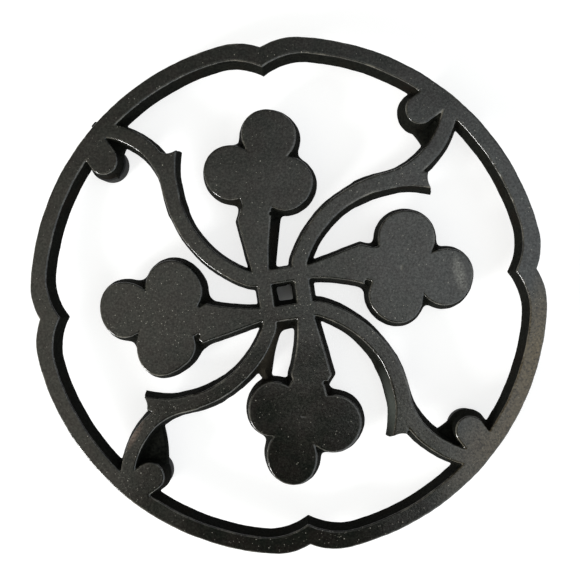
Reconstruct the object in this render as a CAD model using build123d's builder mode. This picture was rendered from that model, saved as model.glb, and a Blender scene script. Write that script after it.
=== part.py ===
from build123d import *
from math import acos, atan2, cos, degrees, radians, sin, sqrt, tan
import os

# Round cast-iron trivet: an openwork casting on four rubber feet.
# Millimetres and degrees. Origin on the table under the centre, +Z up.
# One arm of the pattern is drawn towards +Y and repeated round the centre.

# Casting as a whole
ARM_TURNS = [0, 90, 180, 270]  # the four arms, each a quarter turn on
TREFOIL_STRAYS = [0.0, 0.0, -2.6, 0.0]  # how far each trefoil stands off its true place
OVERALL_DIAMETER = 203.2  # across the underside of the rim
PLATE_THICKNESS = 7.0
DRAFT_ANGLE = 13.0  # lean of every wall, widest at the underside

# Rim
RIM_FACE_WIDTH = 5.8
CUSP_TURN = -2.7  # where the cusps stand, from the arm's own axis
CUSP_ARC_RADIUS = 24.0
CUSP_OUTER_DEPTH = 3.0
CUSP_INNER_DEPTH = 5.4

# Hub bars
BAR_FACE_WIDTH = 5.7
HUB_OPENING = 8.9  # square hole between the crossing bars

# Stem below the trefoil
STEM_ROOT_Y = 6.0  # the stem starts inside the hub bar
STEM_ROOT_WIDTH = 4.4
STEM_SHOULDER_Y = 31.2
STEM_SHOULDER_WIDTH = 14.2
STEM_SHOULDER_SHIFT = 0.3  # sideways, from the hub bar's middle
STEM_LEFT_WAIST_RISE = 5.6  # above the shoulder
STEM_RIGHT_WAIST_RISE = 2.2
STEM_WAIST_WIDTH = 10.4
STEM_WAIST_SHIFT = 1.8
STEM_RIGHT_HOLLOW = 1.3  # how far the right side bows in

# Trefoil
TREFOIL_X = -3.0  # midway between the two side lobes
TREFOIL_Y = 46.4
LOBE_FACE_RADIUS = 10.4
SIDE_LOBE_REACH = 11.3
SIDE_LOBE_LEAN = 15.6
TOP_LOBE_REACH = 16.2
TOP_LOBE_LEAN = 21.5

# Scroll from the hub to the rim, on four arms that are not quite alike
SCROLL_BEND_ANGLES = [25.5, 25.5, 28.5, 25.5]
SCROLL_RIM_ANGLES = [40.1, 40.1, 42.1, 40.1]  # where its middle line meets the rim
SCROLL_RIM_HEADINGS = [77.0, 77.0, 86.0, 77.0]
SCROLL_BEND_RADIUS = 6.4
SCROLL_TIP_RADIUS = 30.5
THORN_ANGLE = 20.3  # how far the thorn carries the scroll's first sweep on

# Curl beside the scroll's end
CURL_FACE_RADIUS = 5.6
CURL_ANGLE = 45.1
CURL_INSET = 6.0  # from the rim's inner face edge to the curl's centre
CURL_HEADING = 28.0  # the way its neck runs out to the rim

# Web low in the notch between the scroll's end and the curl
WEB_ANGLES = [35.0, 21.5, 49.0, 33.0]  # how far it follows each scroll back from the rim
WEB_THICKNESS = 3.0

# Stub left by the casting gate on the rim's outer wall
GATE_ANGLE = 131.0
GATE_WIDTH = 3.0
GATE_HEIGHT = 4.5
GATE_PROUD = 1.4

# Pegs and rubber feet, under the curls
PEG_DIAMETER = 8.0
PEG_LENGTH = 5.0
FOOT_WALL = 3.1
FOOT_SOLE = 3.0
FOOT_FIT_CLEARANCE = 0.05
FOOT_TAPER_ANGLE = 2.0
FOOT_EDGE_RADIUS = 1.0

# Worked-out sizes
UNDERSIDE_Z = FOOT_SOLE + PEG_LENGTH
TOP_Z = UNDERSIDE_Z + PLATE_THICKNESS
TOP_PLANE = Plane.XY.offset(TOP_Z)
UNDERSIDE_PLANE = Plane.XY.offset(UNDERSIDE_Z)
DRAFT_SPREAD = PLATE_THICKNESS * tan(radians(DRAFT_ANGLE))
LEVELS = [(TOP_PLANE, 0), (UNDERSIDE_PLANE, DRAFT_SPREAD)]
RIM_OUTER = OVERALL_DIAMETER / 2 - DRAFT_SPREAD
RIM_INNER = RIM_OUTER - RIM_FACE_WIDTH
RIM_MIDDLE = RIM_OUTER - RIM_FACE_WIDTH / 2
BAR_OFFSET = (HUB_OPENING + BAR_FACE_WIDTH) / 2
HUB_EDGE = HUB_OPENING / 2 + BAR_FACE_WIDTH


def polar(radius, angle):
    return Vector(radius * cos(radians(angle)), radius * sin(radians(angle)))


def arc_about(centre, start, end):
    """Arc from start to end round the given centre, the short way."""
    middle = ((start - centre).normalized() + (end - centre).normalized()).normalized()
    middle = centre + middle * (start - centre).length
    return ThreePointArc(tuple(start), tuple(middle), tuple(end))


def rim_edge(radius, depth, spread):
    """One edge of the rim, moved out by spread: a circle that dips to cusps between tangent arcs."""
    centre_radius = radius - CUSP_ARC_RADIUS
    apex_radius = radius - depth
    cosine = (centre_radius**2 + apex_radius**2 - CUSP_ARC_RADIUS**2) / (2 * centre_radius * apex_radius)
    span = degrees(acos(cosine))
    half_gap = centre_radius * sqrt(1 - cosine**2)
    apex_radius = centre_radius * cosine + sqrt((CUSP_ARC_RADIUS + spread) ** 2 - half_gap**2)
    for turn in ARM_TURNS:
        first = turn + CUSP_TURN
        last = first + 360 / len(ARM_TURNS)
        leave = polar(radius + spread, first + span)
        arrive = polar(radius + spread, last - span)
        arc_about(polar(centre_radius, first + span), polar(apex_radius, first), leave)
        arc_about(Vector(), leave, arrive)
        arc_about(polar(centre_radius, last - span), arrive, polar(apex_radius, last))


def spread_corners(corners, spread):
    """The corners of a clockwise polygon whose sides have each moved out by spread."""
    moved = []
    for before, corner, after in zip(corners[-1:] + corners[:-1], corners, corners[1:] + corners[:1]):
        arriving = (corner - before).normalized()
        leaving = (after - corner).normalized()
        outwards = (arriving + leaving).normalized().rotate(Axis.Z, 90)
        moved.append(corner + outwards * (spread / outwards.dot(arriving.rotate(Axis.Z, 90))))
    return moved


def drafted_faces(corners, last_side_hollow):
    """A polygon's faces on the top and the underside; its last side bows in by the hollow."""
    faces = []
    for plane, spread in LEVELS:
        wide = spread_corners(corners, spread)
        with BuildSketch(plane) as outline:
            with BuildLine():
                Polyline(*wide)
                if last_side_hollow:
                    SagittaArc(wide[-1], wide[0], -last_side_hollow)
                else:
                    Line(wide[-1], wide[0])
            make_face()
        faces.append(outline.sketch.face())
    return faces


def bar_section(path):
    """The bars' cross-section, square to the start of a path on the top face."""
    square_to_path = Plane(path @ 0, x_dir=(path % 0).cross(Vector(0, 0, 1)), z_dir=-(path % 0))
    with BuildSketch(square_to_path) as section:
        Trapezoid(
            BAR_FACE_WIDTH + 2 * DRAFT_SPREAD,
            PLATE_THICKNESS,
            90 - DRAFT_ANGLE,
            align=(Align.CENTER, Align.MAX),
        )
    return section.sketch


# Rim with its cusps: the outer edge's block, less the inner edge's
with BuildPart() as rim:
    for plane, spread in LEVELS:
        with BuildSketch(plane):
            with BuildLine():
                rim_edge(RIM_OUTER, CUSP_OUTER_DEPTH, spread)
            make_face()
    loft(ruled=True)
    for plane, spread in LEVELS:
        with BuildSketch(plane):
            with BuildLine():
                rim_edge(RIM_INNER, CUSP_INNER_DEPTH, -spread)
            make_face()
    loft(ruled=True, mode=Mode.SUBTRACT)

# Trefoil on its stem, standing on the left hub bar
trefoil_middle = Vector(TREFOIL_X, TREFOIL_Y)
left_lobe = trefoil_middle + polar(SIDE_LOBE_REACH, 180 - SIDE_LOBE_LEAN)
right_lobe = trefoil_middle + polar(SIDE_LOBE_REACH, -SIDE_LOBE_LEAN)
top_lobe = trefoil_middle + polar(TOP_LOBE_REACH, 90 - TOP_LOBE_LEAN)
shoulder_x = -BAR_OFFSET + STEM_SHOULDER_SHIFT
waist_x = -BAR_OFFSET + STEM_WAIST_SHIFT
root_left = Vector(-BAR_OFFSET - STEM_ROOT_WIDTH / 2, STEM_ROOT_Y)
root_right = Vector(-BAR_OFFSET + STEM_ROOT_WIDTH / 2, STEM_ROOT_Y)
shoulder_left = Vector(shoulder_x - STEM_SHOULDER_WIDTH / 2, STEM_SHOULDER_Y)
shoulder_right = Vector(shoulder_x + STEM_SHOULDER_WIDTH / 2, STEM_SHOULDER_Y)
waist_left = Vector(waist_x - STEM_WAIST_WIDTH / 2, STEM_SHOULDER_Y + STEM_LEFT_WAIST_RISE)
waist_right = Vector(waist_x + STEM_WAIST_WIDTH / 2, STEM_SHOULDER_Y + STEM_RIGHT_WAIST_RISE)
stem_corners = [
    root_right,
    root_left,
    shoulder_left,
    waist_left,
    left_lobe,
    right_lobe,
    waist_right,
    shoulder_right,
]

with BuildPart() as trefoil:
    with Locations(*[(p.X, p.Y, UNDERSIDE_Z) for p in (left_lobe, top_lobe, right_lobe)]):
        Cone(
            bottom_radius=LOBE_FACE_RADIUS + DRAFT_SPREAD,
            top_radius=LOBE_FACE_RADIUS,
            height=PLATE_THICKNESS,
            align=(Align.CENTER, Align.CENTER, Align.MIN),
        )
    loft(drafted_faces([left_lobe, top_lobe, right_lobe], last_side_hollow=0), ruled=True)
    loft(drafted_faces(stem_corners, last_side_hollow=STEM_RIGHT_HOLLOW), ruled=True)

# Curl: a round end on a neck that runs out to the rim's middle line
curl_centre = polar(RIM_INNER - CURL_INSET, CURL_ANGLE)
curl_way = polar(1, CURL_HEADING)
curl_along = curl_centre.dot(curl_way)
curl_reach = sqrt(curl_along**2 + RIM_MIDDLE**2 - curl_centre.length**2) - curl_along
curl_end = curl_centre + curl_way * curl_reach
curl_back = curl_centre - curl_way * (CURL_FACE_RADIUS + DRAFT_SPREAD)

with BuildPart() as curl:
    for plane, spread in LEVELS:
        side = polar(CURL_FACE_RADIUS + spread, CURL_HEADING + 90)
        with BuildSketch(plane):
            with BuildLine():
                Line(curl_end + side, curl_centre + side)
                TangentArc(curl_centre + side, curl_centre - side, tangent=-curl_way)
                Polyline(curl_centre - side, curl_end - side, curl_end + side)
            make_face()
    loft(ruled=True)


def scroll_arm(bend_angle, rim_angle, rim_heading, web_angle):
    """Hub bar, short bend, long sweep to the right, sweep back up to the rim, thorn and web.

    The long sweep starts along the bend's end and meets the last arc where both head the same
    way, which sets its radius. The thorn is the same bar run on past that joint and cut square.
    """
    bend_start = Vector(BAR_OFFSET, HUB_EDGE)
    bend_centre = bend_start + Vector(SCROLL_BEND_RADIUS, 0)
    sweep_start = bend_centre + polar(SCROLL_BEND_RADIUS, 180 - bend_angle)
    sweep_side = polar(1, -bend_angle)
    rim_point = polar(RIM_MIDDLE, rim_angle)
    tip_centre = rim_point + polar(SCROLL_TIP_RADIUS, rim_heading + 90)
    to_tip = sweep_start - tip_centre
    tip_lead = SCROLL_TIP_RADIUS - sweep_side.dot(to_tip)
    sweep_radius = (to_tip.length**2 - SCROLL_TIP_RADIUS**2) / (2 * tip_lead)
    sweep_centre = sweep_start + sweep_side * sweep_radius
    joint_side = (tip_centre - sweep_centre).normalized()
    joint_angle = degrees(atan2(joint_side.Y, joint_side.X))
    joint = sweep_centre + joint_side * sweep_radius
    thorn_end = sweep_centre + polar(sweep_radius, joint_angle - THORN_ANGLE)
    web_corner = tip_centre + polar(SCROLL_TIP_RADIUS, rim_heading - 90 - web_angle)
    with BuildPart() as scroll:
        with BuildLine(TOP_PLANE) as scroll_line:
            Line((BAR_OFFSET, -BAR_OFFSET), tuple(bend_start))
            arc_about(bend_centre, bend_start, sweep_start)
            arc_about(sweep_centre, sweep_start, joint)
            arc_about(tip_centre, joint, rim_point)
        sweep(sections=bar_section(scroll_line.line), path=scroll_line.line)
        with BuildLine(TOP_PLANE) as thorn_line:
            arc_about(sweep_centre, joint, thorn_end)
        sweep(sections=bar_section(thorn_line.line), path=thorn_line.line)
        with BuildSketch(UNDERSIDE_PLANE):
            with BuildLine():
                Polyline(rim_point, curl_end, curl_back, web_corner)
                arc_about(tip_centre, web_corner, rim_point)
            make_face()
        extrude(amount=WEB_THICKNESS)
    return scroll.part


# The casting: rim and arms in one, with the gate stub and the pegs for the feet
gate_end = OVERALL_DIAMETER / 2 + GATE_PROUD
arm_angles = zip(SCROLL_BEND_ANGLES, SCROLL_RIM_ANGLES, SCROLL_RIM_HEADINGS, WEB_ANGLES)
scroll_arms = [scroll_arm(*angles) for angles in arm_angles]

with BuildPart() as cast_frame:
    add(rim.part)
    for turn, stray, arm in zip(ARM_TURNS, TREFOIL_STRAYS, scroll_arms):
        add(trefoil.part.rotate(Axis.Z, turn + stray))
        add(arm.rotate(Axis.Z, turn))
        add(curl.part.rotate(Axis.Z, turn))
    with Locations((0, 0, UNDERSIDE_Z)):
        with PolarLocations(gate_end, 1, start_angle=GATE_ANGLE):
            Box(
                gate_end - RIM_MIDDLE,
                GATE_WIDTH,
                GATE_HEIGHT,
                align=(Align.MAX, Align.CENTER, Align.MIN),
            )
    with Locations((0, 0, FOOT_SOLE)):
        with PolarLocations(curl_centre.length, len(ARM_TURNS), start_angle=CURL_ANGLE):
            Cylinder(PEG_DIAMETER / 2, PEG_LENGTH, align=(Align.CENTER, Align.CENTER, Align.MIN))

os.makedirs("parts", exist_ok=True)
cast_frame.part.label = "cast_frame"
export_step(cast_frame.part, "parts/cast_frame.step")

# Rubber feet: a tapered cup over each peg, its lip against the casting's underside
cup_radius = PEG_DIAMETER / 2 + FOOT_FIT_CLEARANCE
foot_lip_radius = cup_radius + FOOT_WALL
foot_sole_radius = foot_lip_radius - UNDERSIDE_Z * tan(radians(FOOT_TAPER_ANGLE))

for number, turn in enumerate(ARM_TURNS, start=1):
    foot_place = curl_centre.rotate(Axis.Z, turn)
    with BuildPart() as rubber_foot:
        with Locations(foot_place):
            Cone(
                bottom_radius=foot_sole_radius,
                top_radius=foot_lip_radius,
                height=UNDERSIDE_Z,
                align=(Align.CENTER, Align.CENTER, Align.MIN),
            )
        fillet(rubber_foot.faces().sort_by(Axis.Z)[0].edges(), FOOT_EDGE_RADIUS)
        with Locations(foot_place + Vector(0, 0, FOOT_SOLE)):
            Cylinder(
                cup_radius,
                PEG_LENGTH,
                align=(Align.CENTER, Align.CENTER, Align.MIN),
                mode=Mode.SUBTRACT,
            )
    rubber_foot.part.label = f"rubber_foot_{number}"
    export_step(rubber_foot.part, f"parts/rubber_foot_{number}.step")
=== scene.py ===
# %% [markdown]
# # A round cast-iron trivet
#
# The trivet is one openwork casting, poured in sand and painted black, on four rubber feet.
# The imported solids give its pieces, their places and their sizes. This script dresses them:
# it rebuilds the casting with rounded edges and sand-cast skin, gives the feet their rubber,
# and sets up a plain studio with the camera almost straight above.

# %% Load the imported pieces
import bmesh
import bpy
import numpy as np
from mathutils.geometry import delaunay_2d_cdt
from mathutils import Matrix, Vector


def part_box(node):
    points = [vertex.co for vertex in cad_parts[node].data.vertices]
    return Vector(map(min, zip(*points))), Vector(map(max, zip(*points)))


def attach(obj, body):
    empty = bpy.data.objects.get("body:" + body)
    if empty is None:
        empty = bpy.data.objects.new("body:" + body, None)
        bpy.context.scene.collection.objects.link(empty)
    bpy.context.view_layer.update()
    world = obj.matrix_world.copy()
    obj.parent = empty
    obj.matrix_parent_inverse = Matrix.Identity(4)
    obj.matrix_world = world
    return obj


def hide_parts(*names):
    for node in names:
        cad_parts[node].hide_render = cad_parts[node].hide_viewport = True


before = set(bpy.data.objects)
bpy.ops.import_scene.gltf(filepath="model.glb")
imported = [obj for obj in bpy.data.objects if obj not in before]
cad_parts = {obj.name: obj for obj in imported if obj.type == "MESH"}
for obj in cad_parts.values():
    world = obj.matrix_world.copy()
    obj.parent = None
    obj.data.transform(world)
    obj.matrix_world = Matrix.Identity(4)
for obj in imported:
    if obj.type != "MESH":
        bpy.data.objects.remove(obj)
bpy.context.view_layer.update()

MM = 0.001
print("CAD nodes:", sorted(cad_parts))

# %% [markdown]
# ## Heights and the leaning walls
#
# A sand casting has to slip out of its mould, so every wall leans: the show face is narrower
# than the underside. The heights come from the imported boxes. The pattern itself is worked out
# in millimetres below, and the finished mesh is scaled to metres.

# %% Heights of the plate
PLATE_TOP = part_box("cast_frame")[1].z / MM
PLATE_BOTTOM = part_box("rubber_foot_1")[1].z / MM
DRAFT_ANGLE = 13.0
WALL_LEAN = np.tan(np.radians(DRAFT_ANGLE))
WALL_SPREAD = (PLATE_TOP - PLATE_BOTTOM) * WALL_LEAN
print(f"show face at {PLATE_TOP:.2f} mm, underside at {PLATE_BOTTOM:.2f} mm, spread {WALL_SPREAD:.2f} mm")

# %% [markdown]
# ## Distances instead of outlines
#
# The casting could be cut from curves with booleans and bevelled, but a bevel breaks where many
# thin bars meet. So the pattern is a distance: for any point of the plane, how far it lies
# outside the show face's edge, negative on the metal. Shapes join by taking the smaller distance,
# fillets come free with a soft minimum, and the underside is the same pattern a little wider. Each
# helper takes an array of points, one per row, and works on all of them at once.

# %% Distance helpers


def polar(radius, angle):
    """The point at that distance from the centre, at that angle in degrees."""
    return radius * np.array([np.cos(np.radians(angle)), np.sin(np.radians(angle))])


def turned(points, angle):
    """Points turned about the centre by an angle in degrees."""
    c, s = np.cos(np.radians(angle)), np.sin(np.radians(angle))
    return points @ np.array([[c, s], [-s, c]])


def to_disc(points, centre, radius):
    """Distance to the middle of a disc, less its radius."""
    return np.linalg.norm(points - centre, axis=1) - radius


def to_stretch(points, start, end):
    """Distance to the straight stretch from start to end: to its line, or past an end to that end."""
    run = end - start
    share = np.clip((points - start) @ run / (run @ run), 0, 1)
    return np.linalg.norm(points - start - share[:, None] * run, axis=1)


def to_arc(points, centre, start, end):
    """Distance to the short arc round a centre: to its circle, or outside its angle to the nearer end."""
    radius = np.linalg.norm(start - centre)
    middle = start + end - 2 * centre
    middle = middle / np.linalg.norm(middle)
    spoke = points - centre
    reach = np.linalg.norm(spoke, axis=1)
    beside = spoke @ middle > reach * (((start - centre) @ middle) / radius)
    ends = np.minimum(np.linalg.norm(points - start, axis=1), np.linalg.norm(points - end, axis=1))
    return np.where(beside, np.abs(reach - radius), ends)


print("helpers for discs, stretches and arcs")

# %% [markdown]
# ## Areas and soft joins
#
# A stem or a web is a polygon, whose hollow sides are short parabolas. Joined areas would meet in a
# sharp inner corner, which neither sand nor paint keeps. The soft union fills it: where two
# distances are nearly equal, it gives a little less than the smaller one.

# %% Area helpers


def to_polygon(points, corners):
    """Distance to the nearest side, negative inside: there a ray to the right crosses an odd number."""
    nearest = np.full(len(points), np.inf)
    inside = np.zeros(len(points), bool)
    x, y = points.T
    for a, b in zip(corners, np.roll(corners, -1, axis=0)):
        nearest = np.minimum(nearest, to_stretch(points, a, b))
        rise = b[1] - a[1] if b[1] != a[1] else np.inf
        inside ^= ((a[1] > y) != (b[1] > y)) & (x < a[0] + (y - a[1]) * (b[0] - a[0]) / rise)
    return np.where(inside, -nearest, nearest)


def bowed_side(start, end, depth, steps=10):
    """Points from start to end on a parabola that bows to the right of the way by depth."""
    t = np.linspace(0, 1, steps)[:, None]
    run = end - start
    right = np.array([run[1], -run[0]]) / np.linalg.norm(run)
    return start + t * run + 4 * depth * t * (1 - t) * right


def soft_union(a, b, fillet):
    """The smaller of two distances, with the corner where they are equal filled by a small fillet."""
    share = np.clip(0.5 + 0.5 * (b - a) / fillet, 0, 1)
    return b + (a - b) * share - fillet * share * (1 - share)


print("helpers for areas and soft joins")

# %% [markdown]
# ## Rim
#
# The ring's outer and inner edges are circles that dip to four cusps. Beside each cusp the edge
# runs on two arcs that touch the circle, so near a cusp the distance is taken to the arc on the
# same side, and elsewhere to the circle. The ring is what lies inside one edge and outside the other.
# It stands about a third of a millimetre off the hub's middle, as on a hand-made pattern.

# %% Rim
RIM_UNDERSIDE_RADIUS = 101.6
RIM_FACE_WIDTH = 6.0
RIM_OUTER = RIM_UNDERSIDE_RADIUS - WALL_SPREAD
RIM_INNER = RIM_OUTER - RIM_FACE_WIDTH
RIM_MIDDLE = (RIM_OUTER + RIM_INNER) / 2
RIM_SHIFT = [0.17, -0.25]
CUSP_TURN = -2.7
CUSP_ARC = 25.4
CUSP_OUTER_DEPTH = 3.45
CUSP_INNER_DEPTH = 5.2


def to_cusped_edge(points, radius, depth):
    """Distance to a circle with four dips, folded about the nearest cusp so one arc serves both sides."""
    arc_circle = radius - CUSP_ARC
    apex = radius - depth
    span = np.arccos((arc_circle**2 + apex**2 - CUSP_ARC**2) / (2 * arc_circle * apex))
    angle = np.arctan2(points[:, 1], points[:, 0]) - np.radians(CUSP_TURN)
    fold = np.abs((angle + np.pi / 4) % (np.pi / 2) - np.pi / 4)
    reach = np.linalg.norm(points, axis=1)
    folded = reach[:, None] * np.stack([np.cos(fold), np.sin(fold)], axis=1)
    beside_cusp = to_disc(folded, arc_circle * np.array([np.cos(span), np.sin(span)]), CUSP_ARC)
    return np.where((fold < span) & (reach > arc_circle), beside_cusp, reach - radius)


def to_rim(points):
    """Inside the outer edge and outside the inner one."""
    points = points - RIM_SHIFT
    outer = to_cusped_edge(points, RIM_OUTER, CUSP_OUTER_DEPTH)
    inner = to_cusped_edge(points, RIM_INNER, CUSP_INNER_DEPTH)
    return np.maximum(outer, -inner)


print(f"rim face from {RIM_INNER:.1f} to {RIM_OUTER:.1f} mm from the centre")

# %% [markdown]
# ## Four arms, carved by hand
#
# Each arm is a trefoil on a stem and a scroll that ends in a thorn and a curl, all drawn pointing
# to +Y and then turned into place. One arm could be copied four times, but the pattern was carved by
# hand and no two arms are quite alike, so every arm has its own table of millimetres and degrees.
#
# A lobe gives its middle, its radius, and how far that radius swells two and three times round.
# Shoulders and waists are the corners of the stem, right one first. Notch is the fillet that fills the
# trefoil's inner corners low down. The dimple is a small round bite at one waist, where sand broke
# away. Drift moves the scroll's sweep outward: at the face, then low down. The rows that start with
# low say how much further than the usual draft a piece's walls spread at the underside.

# %% Tables of the arms
ARMS = [
    {
        "turn": 0,
        "stray": 0.0,
        "scroll": {"bend": 25.0, "rim_angle": 40.19, "rim_heading": 75.8},
        "radii": {"bend": 3.48, "tip": 34.03},
        "thorn": 24.7,
        "half_width": 2.89,
        "web": 35.0,
        "web_hollow": 1.0,
        "lobes": [
            (-13.61, 49.80, 10.61, -0.07, -0.11, 0.06, 0.10),
            (6.80, 42.33, 10.41, -0.01, 0.03, 0.13, 0.04),
            (2.91, 61.50, 10.46, -0.01, -0.32, 0.12, 0.07),
        ],
        "root": (2.21, 3.35),
        "shoulders": ((-0.80, 30.60), (-13.75, 30.95)),
        "waists": ((-0.30, 33.37), (-11.01, 36.69)),
        "hollow": 0.43,
        "notch": 3.7,
        "dimple": (-0.40, 31.60),
        "drift": (0.00, 0.00),
        "low_curl": 1.2,
        "low_scroll": (0.03, -0.01),
        "low_lobes": (-0.29, -0.03, -0.02),
        "low_stem": 0.01,
    },
    {
        "turn": 90,
        "stray": 0.0,
        "scroll": {"bend": 27.2, "rim_angle": 40.02, "rim_heading": 79.4},
        "radii": {"bend": 6.82, "tip": 29.79},
        "thorn": 20.5,
        "half_width": 2.82,
        "web": 21.5,
        "web_hollow": 1.0,
        "lobes": [
            (-13.49, 49.11, 11.18, -0.34, -0.05, 0.03, 0.55),
            (8.34, 42.47, 10.88, 0.04, 0.45, 0.15, 0.05),
            (3.20, 61.98, 10.63, 0.06, 0.02, -0.03, 0.43),
        ],
        "root": (3.00, 1.16),
        "shoulders": ((0.79, 31.12), (-14.19, 34.23)),
        "waists": ((-0.32, 33.41), (-10.69, 36.77)),
        "hollow": 1.17,
        "notch": 4.4,
        "dimple": (-11.30, 35.60),
        "drift": (0.00, 0.00),
        "low_curl": -0.8,
        "low_scroll": (-0.30, -0.61),
        "low_lobes": (0.02, 0.04, 0.02),
        "low_stem": 0.09,
    },
    {
        "turn": 180,
        "stray": -2.6,
        "scroll": {"bend": 30.6, "rim_angle": 42.43, "rim_heading": 85.9},
        "radii": {"bend": 5.98, "tip": 32.74},
        "thorn": 23.5,
        "half_width": 2.70,
        "web": 54.0,
        "web_hollow": -1.0,
        "lobes": [
            (-13.53, 51.39, 10.86, -0.02, 0.03, -0.06, -0.09),
            (8.18, 43.93, 10.44, -0.04, 0.01, -0.21, 0.20),
            (3.47, 62.65, 10.26, -0.65, 0.00, 0.01, -0.01),
        ],
        "root": (3.18, 2.80),
        "shoulders": ((0.57, 30.96), (-14.80, 32.89)),
        "waists": ((0.16, 33.32), (-11.79, 36.74)),
        "hollow": 1.30,
        "notch": 2.9,
        "dimple": (-12.30, 35.70),
        "drift": (1.20, 1.20),
        "low_curl": 0.0,
        "low_scroll": (0.10, -0.10),
        "low_lobes": (-0.02, 0.00, 0.00),
        "low_stem": 0.02,
    },
    {
        "turn": 270,
        "stray": 0.0,
        "scroll": {"bend": 25.5, "rim_angle": 40.93, "rim_heading": 74.8},
        "radii": {"bend": 6.15, "tip": 35.88},
        "thorn": 25.2,
        "half_width": 2.90,
        "web": 33.0,
        "web_hollow": 1.0,
        "lobes": [
            (-14.05, 49.54, 10.80, -0.03, -0.02, 0.01, -0.01),
            (6.98, 42.58, 10.42, 0.00, 0.05, 0.17, 0.09),
            (2.53, 61.82, 10.71, 0.02, -0.16, 0.26, 0.01),
        ],
        "root": (2.46, 1.42),
        "shoulders": ((0.86, 31.07), (-14.45, 31.99)),
        "waists": ((-0.36, 33.41), (-12.48, 36.90)),
        "hollow": 1.31,
        "notch": 2.9,
        "dimple": (0.20, 32.20),
        "drift": (1.50, 0.10),
        "low_curl": 0.4,
        "low_scroll": (0.40, 0.00),
        "low_lobes": (0.00, 0.00, -0.01),
        "low_stem": 0.06,
    },
]
print("arms turned by", [arm["turn"] for arm in ARMS], "degrees")

# %% [markdown]
# ## Trefoil on its stem
#
# Three lobes on a tapering stem. Discs would do from afar, but the carved lobes are not quite round,
# so their radius waves a little. Lobes and stem are joined with the soft minimum: a small fillet at
# the show face, and a wide one at the underside, where the mould's sand kept no sharp inner corner.

# %% Trefoil
FILLET = 0.7
HUB_OPENING = 8.9
BAR_WIDTH = 5.7
BAR_OFFSET = (HUB_OPENING + BAR_WIDTH) / 2
HUB_EDGE = HUB_OPENING / 2 + BAR_WIDTH
STEM_ROOT_Y = 6.0
STEM_ROOT = np.array([-BAR_OFFSET, STEM_ROOT_Y])
DIMPLE_RADIUS = 0.9


def to_lobe(points, lobe):
    """Distance from the lobe's middle, less a radius that waves two and three times round."""
    x, y, radius, cos_2, sin_2, cos_3, sin_3 = lobe
    spoke = points - [x, y]
    angle = np.arctan2(spoke[:, 1], spoke[:, 0])
    waves = cos_2 * np.cos(2 * angle) + sin_2 * np.sin(2 * angle)
    waves = waves + cos_3 * np.cos(3 * angle) + sin_3 * np.sin(3 * angle)
    return np.linalg.norm(spoke, axis=1) - radius - waves


def stem_outline(arm):
    """The stem's corners: down from the right shoulder, up the left side and through the lobes."""
    right_shoulder, left_shoulder = np.array(arm["shoulders"])
    right_waist, left_waist = np.array(arm["waists"])
    right_root, left_root = arm["root"]
    right_side = bowed_side(right_shoulder, STEM_ROOT + [right_root, 0], arm["hollow"])
    left_lobe, right_lobe = np.array([lobe[:2] for lobe in arm["lobes"][:2]])
    others = [STEM_ROOT - [left_root, 0], left_shoulder, left_waist, left_lobe, right_lobe, right_waist]
    return np.vstack([right_side, others])


def to_trefoil(points, arm, low):
    """Three lobes, the triangle between their middles, and the stem's outline, softly joined."""
    fillet = arm["notch"] if low else FILLET
    lobes = [to_lobe(points, lobe) - grown * low for lobe, grown in zip(arm["lobes"], arm["low_lobes"])]
    joined = soft_union(soft_union(lobes[0], lobes[1], fillet), lobes[2], fillet)
    core = to_polygon(points, np.array([lobe[:2] for lobe in arm["lobes"]]))
    stem = to_polygon(points, arm["outline"]) - arm["low_stem"] * low
    whole = soft_union(np.minimum(joined, core), stem, fillet)
    dimple = DIMPLE_RADIUS - np.linalg.norm(points - np.array(arm["dimple"]), axis=1)
    return whole if low else np.maximum(whole, dimple)


for arm in ARMS:
    arm["outline"] = stem_outline(arm)
print("stem outlines of", [len(arm["outline"]) for arm in ARMS], "corners")

# %% [markdown]
# ## Middle line of a scroll
#
# A scroll is a bar of one width along a line and three arcs that run into each other: up from the
# hub, a short bend, a long sweep to the right, and a tip that turns back to the rim. A bevelled curve
# would give the bar but not its fillets, so only the middle line is worked out, as centres and ends.
# The sweep's radius is the one that leaves the bend straight on and touches the tip's arc.

# %% Scroll lines


def scroll_lines(arm):
    """The scroll's middle line: centres, ends and headings of its bar, bend, sweep and tip."""
    bend, tip = arm["radii"]["bend"], arm["radii"]["tip"]
    bend_angle = arm["scroll"]["bend"]
    line = {"bend_start": np.array([BAR_OFFSET, HUB_EDGE])}
    line["bend_centre"] = line["bend_start"] + [bend, 0]
    line["sweep_start"] = line["bend_centre"] + polar(bend, 180 - bend_angle)
    line["rim_point"] = polar(RIM_MIDDLE, arm["scroll"]["rim_angle"])
    line["tip_centre"] = line["rim_point"] + polar(tip, arm["scroll"]["rim_heading"] + 90)
    side = polar(1, -bend_angle)
    to_tip = line["sweep_start"] - line["tip_centre"]
    radius = (to_tip @ to_tip - tip**2) / (2 * (tip - side @ to_tip))
    line["sweep_radius"] = radius
    line["sweep_centre"] = line["sweep_start"] + side * radius
    joint_way = line["tip_centre"] - line["sweep_centre"]
    joint_angle = np.degrees(np.arctan2(joint_way[1], joint_way[0]))
    line["joint"] = line["sweep_centre"] + polar(radius, joint_angle)
    line["joint_heading"] = polar(1, joint_angle - 90)
    line["thorn_end"] = line["sweep_centre"] + polar(radius, joint_angle - arm["thorn"])
    line["thorn_heading"] = polar(1, joint_angle - arm["thorn"] - 90)
    return line


for arm in ARMS:
    arm["line"] = scroll_lines(arm)
    print(f"arm at {arm['turn']} degrees sweeps on a {arm['line']['sweep_radius']:.1f} mm radius")

# %% [markdown]
# ## Scroll with its thorn
#
# Where the long sweep ends, the bar also runs on as a thorn: a piece of the sweep's ring, cut off at a
# slightly hollow end that leans, and joined to the tip with a fillet. Before the distance is taken
# the points are moved back by the drift, which is full on the middle of the sweep and fades to
# nothing at the hub and at the tip, so the sweep bulges without a jog.

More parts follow.
